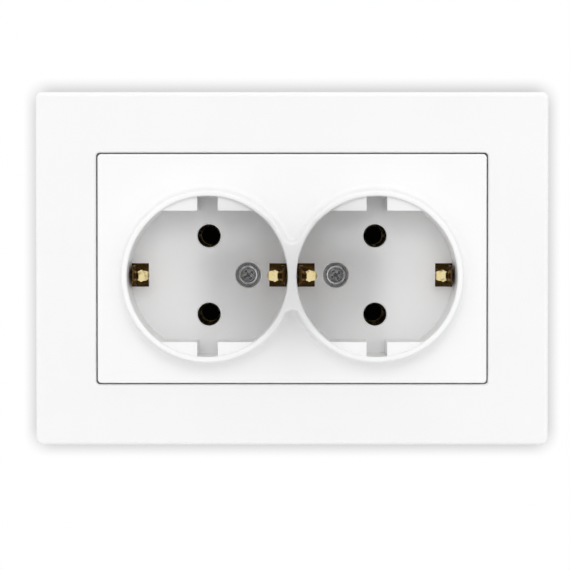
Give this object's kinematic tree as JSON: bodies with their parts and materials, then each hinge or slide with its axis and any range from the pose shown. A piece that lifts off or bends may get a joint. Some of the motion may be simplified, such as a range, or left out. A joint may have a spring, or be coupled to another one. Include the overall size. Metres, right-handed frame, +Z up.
{
  "type": "double wall socket",
  "caption": "Flush-mounted wall socket with two round wells side by side, pin holes, side earth clips and a wide flat frame.",
  "frame": {"origin": "middle of the box-screw pattern at the back of the support plate, in the wall plane", "axes": "+X right, +Z up, -Y out of the wall towards the room"},
  "size_m": [0.123, 0.0439, 0.0848],
  "materials": {
    "white_plastic": "gloss",
    "black_plastic": "satin",
    "zinc_steel": "satin",
    "brass": "polished"
  },
  "bodies": {
    "socket": {"cover_frame": "white_plastic", "socket_cover": "white_plastic", "support_plate": "zinc_steel", "base": "black_plastic", "rear_cover": "black_plastic", "live_busbar": "brass", "neutral_busbar": "brass", "live_spring_left": "zinc_steel", "live_spring_right": "zinc_steel", "neutral_spring_left": "zinc_steel", "neutral_spring_right": "zinc_steel", "earth_strap": "brass", "earth_centre_clip": "brass", "earth_rivet": "brass", "plate_rivet_upper_left": "zinc_steel", "plate_rivet_upper_right": "zinc_steel", "plate_rivet_lower_left": "zinc_steel", "plate_rivet_lower_right": "zinc_steel", "cover_screw_left": "zinc_steel", "cover_screw_right": "zinc_steel", "cover_nut_left": "zinc_steel", "cover_nut_right": "zinc_steel", "rear_cover_screw_left": "zinc_steel", "rear_cover_screw_right": "zinc_steel", "claw_pin_upper": "zinc_steel", "claw_pin_lower": "zinc_steel"},
    "claw_upper": {"claw_upper": "zinc_steel"},
    "claw_screw_upper": {"claw_screw_upper": "zinc_steel"},
    "claw_lower": {"claw_lower": "zinc_steel"},
    "claw_screw_lower": {"claw_screw_lower": "zinc_steel"},
    "terminal_screw_live": {"terminal_screw_live": "zinc_steel"},
    "clamp_nut_live": {"clamp_nut_live": "zinc_steel"},
    "terminal_screw_earth": {"terminal_screw_earth": "zinc_steel"},
    "clamp_nut_earth": {"clamp_nut_earth": "zinc_steel"},
    "terminal_screw_neutral": {"terminal_screw_neutral": "zinc_steel"},
    "clamp_nut_neutral": {"clamp_nut_neutral": "zinc_steel"}
  },
  "joints": [
    {"name": "claw_screw_upper_turn", "type": "hinge", "parent": "socket", "child": "claw_screw_upper", "pos_m": [0, 0, 0.0225], "axis": [0, 1, 0], "range_deg": [0, 1620]},
    {"name": "claw_upper_swing", "type": "hinge", "parent": "socket", "child": "claw_upper", "pos_m": [0, 0.0052, 0.0165], "axis": [1, 0, 0], "range_deg": [0, 22]},
    {"name": "claw_screw_lower_turn", "type": "hinge", "parent": "socket", "child": "claw_screw_lower", "pos_m": [0, 0, -0.0225], "axis": [0, 1, 0], "range_deg": [0, 1620]},
    {"name": "claw_lower_swing", "type": "hinge", "parent": "socket", "child": "claw_lower", "pos_m": [0, 0.0052, -0.0165], "axis": [-1, 0, 0], "range_deg": [0, 22]},
    {"name": "terminal_screw_live_turn", "type": "hinge", "parent": "socket", "child": "terminal_screw_live", "pos_m": [-0.011, 0, 0.0146], "axis": [0, -1, 0], "range_deg": [0, 1200]},
    {"name": "clamp_nut_live_slide", "type": "slide", "parent": "socket", "child": "clamp_nut_live", "axis": [0, 1, 0], "range_m": [0, 0.002]},
    {"name": "terminal_screw_earth_turn", "type": "hinge", "parent": "socket", "child": "terminal_screw_earth", "pos_m": [0.011, 0, 0.0146], "axis": [0, -1, 0], "range_deg": [0, 1200]},
    {"name": "clamp_nut_earth_slide", "type": "slide", "parent": "socket", "child": "clamp_nut_earth", "axis": [0, 1, 0], "range_m": [0, 0.002]},
    {"name": "terminal_screw_neutral_turn", "type": "hinge", "parent": "socket", "child": "terminal_screw_neutral", "pos_m": [-0.011, 0, -0.0146], "axis": [0, -1, 0], "range_deg": [0, 1200]},
    {"name": "clamp_nut_neutral_slide", "type": "slide", "parent": "socket", "child": "clamp_nut_neutral", "axis": [0, 1, 0], "range_m": [0, 0.002]}
  ],
  "couplings": [
    {"joint": "claw_screw_upper_turn", "follows": "claw_upper_swing", "ratio": 73.636},
    {"joint": "claw_screw_lower_turn", "follows": "claw_lower_swing", "ratio": 73.636},
    {"joint": "terminal_screw_live_turn", "follows": "clamp_nut_live_slide", "rad_per_m": 10472},
    {"joint": "terminal_screw_earth_turn", "follows": "clamp_nut_earth_slide", "rad_per_m": 10472},
    {"joint": "terminal_screw_neutral_turn", "follows": "clamp_nut_neutral_slide", "rad_per_m": 10472}
  ]
}
